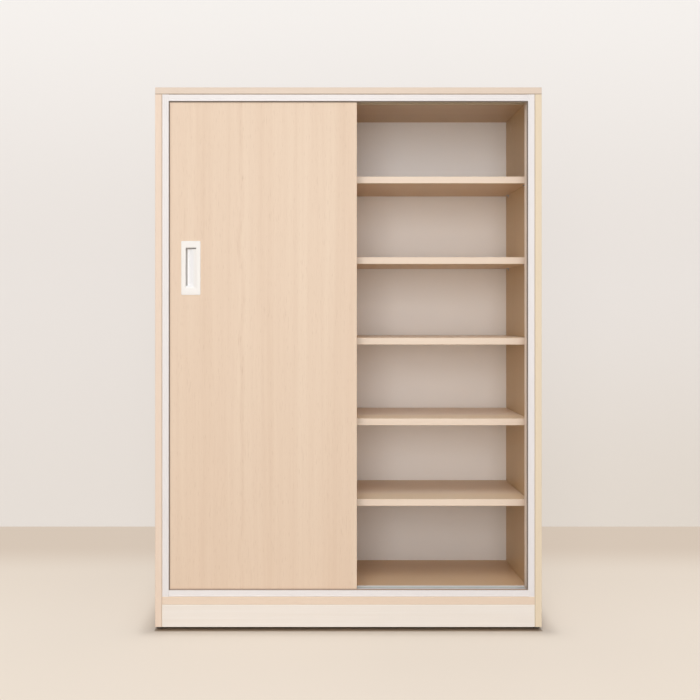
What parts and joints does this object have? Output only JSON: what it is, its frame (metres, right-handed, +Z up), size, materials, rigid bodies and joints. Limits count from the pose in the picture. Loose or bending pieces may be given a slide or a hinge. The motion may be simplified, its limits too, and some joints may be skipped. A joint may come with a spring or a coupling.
{
  "type": "sliding door cabinet",
  "caption": "Tall cupboard with two sliding doors in a white frame, flush pulls, and shelves either side of a centre divider.",
  "frame": {"origin": "on the floor, at the middle of the cabinet's width and depth", "axes": "+X to the viewer's right when facing the doors, +Y from the front to the back, +Z up"},
  "size_m": [1, 0.4, 1.406],
  "materials": {
    "oak_board": "light oak-grained board, satin",
    "pale_board": "paler grained board, satin",
    "white_board": "white coated hardboard, matt",
    "white_frame": "white powder coat on an extruded section",
    "white_plastic": "moulded, satin",
    "oak_plastic": "moulded caps in the tone of the boards",
    "nylon": "moulded nylon",
    "bright_steel": "zinc plated",
    "rubber": "soft grey rubber",
    "dark_plastic": "moulded, matt",
    "beech": "plain beech, fluted"
  },
  "bodies": {
    "case": {"back_panel": "white_board", "bottom_panel": "oak_board", "bottom_track": "white_frame", "cam_bolts": "bright_steel", "cam_cover_caps": "oak_plastic", "cam_locks": "bright_steel", "centre_divider": "oak_board", "door_bumpers": "rubber", "dust_seal_bottom": "rubber", "dust_seal_left": "rubber", "dust_seal_right": "rubber", "dust_seal_top": "rubber", "floor_feet": "dark_plastic", "foot_screws": "bright_steel", "frame_screws": "bright_steel", "jamb_left": "white_frame", "jamb_right": "white_frame", "plinth_brace": "oak_board", "plinth_front": "pale_board", "plinth_rear": "pale_board", "shelf_left_1": "oak_board", "shelf_left_2": "oak_board", "shelf_left_3": "oak_board", "shelf_left_4": "oak_board", "shelf_left_5": "oak_board", "shelf_pins": "bright_steel", "shelf_right_1": "oak_board", "shelf_right_2": "oak_board", "shelf_right_3": "oak_board", "shelf_right_4": "oak_board", "shelf_right_5": "oak_board", "side_panel_left": "oak_board", "side_panel_right": "oak_board", "top_panel": "oak_board", "top_track": "white_frame", "wood_dowels": "beech"},
    "front_door": {"front_door_edging": "oak_board", "front_door_panel": "oak_board", "front_door_pull": "white_plastic", "front_door_roller_housing_left": "nylon", "front_door_roller_housing_right": "nylon", "front_door_screws": "bright_steel", "front_door_top_guides": "nylon", "front_door_wheel_axles": "bright_steel"},
    "front_door_wheel_left": {"front_door_wheel_left": "nylon"},
    "front_door_wheel_right": {"front_door_wheel_right": "nylon"},
    "rear_door": {"rear_door_edging": "oak_board", "rear_door_panel": "oak_board", "rear_door_pull": "white_plastic", "rear_door_roller_housing_left": "nylon", "rear_door_roller_housing_right": "nylon", "rear_door_screws": "bright_steel", "rear_door_top_guides": "nylon", "rear_door_wheel_axles": "bright_steel"},
    "rear_door_wheel_left": {"rear_door_wheel_left": "nylon"},
    "rear_door_wheel_right": {"rear_door_wheel_right": "nylon"}
  },
  "joints": [
    {"name": "front_door_slide", "type": "slide", "parent": "case", "child": "front_door", "axis": [1, 0, 0], "range_m": [0, 0.454]},
    {"name": "front_door_wheel_left_spin", "type": "hinge", "parent": "front_door", "child": "front_door_wheel_left", "pos_m": [-0.416, -0.187, 0.1003], "axis": [0, 1, 0], "continuous": true},
    {"name": "front_door_wheel_right_spin", "type": "hinge", "parent": "front_door", "child": "front_door_wheel_right", "pos_m": [-0.038, -0.187, 0.1003], "axis": [0, 1, 0], "continuous": true},
    {"name": "rear_door_slide", "type": "slide", "parent": "case", "child": "rear_door", "axis": [1, 0, 0], "range_m": [0, 0.454]},
    {"name": "rear_door_wheel_left_spin", "type": "hinge", "parent": "rear_door", "child": "rear_door_wheel_left", "pos_m": [-0.416, -0.165, 0.1003], "axis": [0, 1, 0], "continuous": true},
    {"name": "rear_door_wheel_right_spin", "type": "hinge", "parent": "rear_door", "child": "rear_door_wheel_right", "pos_m": [-0.038, -0.165, 0.1003], "axis": [0, 1, 0], "continuous": true}
  ],
  "couplings": [
    {"joint": "front_door_wheel_left_spin", "follows": "front_door_slide", "rad_per_m": 100},
    {"joint": "front_door_wheel_right_spin", "follows": "front_door_slide", "rad_per_m": 100},
    {"joint": "rear_door_wheel_left_spin", "follows": "rear_door_slide", "rad_per_m": 100},
    {"joint": "rear_door_wheel_right_spin", "follows": "rear_door_slide", "rad_per_m": 100}
  ]
}
